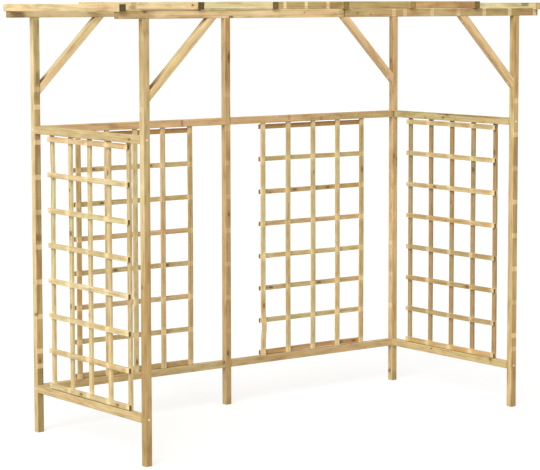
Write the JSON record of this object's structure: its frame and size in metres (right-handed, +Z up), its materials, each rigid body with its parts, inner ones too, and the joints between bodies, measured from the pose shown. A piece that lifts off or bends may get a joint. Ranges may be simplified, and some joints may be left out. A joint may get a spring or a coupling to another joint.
{
  "type": "wooden garden arch",
  "caption": "Free-standing wooden garden arch: U-shaped plan with an open front, square posts, braced beams, cross rafters and lattice trellis panels on the sides and back.",
  "frame": {"origin": "on the ground, at the centre of the plan", "axes": "+X along the front from left to right, +Y from the open front to the back, +Z up"},
  "size_m": [2.656, 1.047, 2.163],
  "materials": {
    "post_wood": "planed, untreated look, satin",
    "beam_wood": "planed softwood, satin",
    "rafter_wood": "planed softwood, dark end grain",
    "brace_wood": "planed softwood, satin",
    "rail_wood": "planed softwood, satin",
    "lath_wood": "sawn laths, matt"
  },
  "bodies": {
    "root": {"post_front_left": "post_wood", "post_front_right": "post_wood", "post_back_left": "post_wood", "post_back_middle": "post_wood", "post_back_right": "post_wood", "front_beam_left": "beam_wood", "front_beam_right": "beam_wood", "back_beam_left": "beam_wood", "back_beam_right": "beam_wood", "rafter_1": "rafter_wood", "rafter_2": "rafter_wood", "rafter_3": "rafter_wood", "rafter_4": "rafter_wood", "rafter_5": "rafter_wood", "rafter_6": "rafter_wood", "rafter_7": "rafter_wood", "brace_front_left": "brace_wood", "brace_front_right": "brace_wood", "brace_back_left": "brace_wood", "brace_back_right": "brace_wood", "upper_rail_left": "rail_wood", "upper_rail_right": "rail_wood", "lower_rail_left": "rail_wood", "lower_rail_right": "rail_wood", "upper_rail_back_left": "rail_wood", "upper_rail_back_right": "rail_wood", "lower_rail_back_left": "rail_wood", "lower_rail_back_right": "rail_wood", "trellis_left": "lath_wood", "trellis_right": "lath_wood", "trellis_back_left": "lath_wood", "trellis_back_right": "lath_wood"}
  },
  "joints": []
}
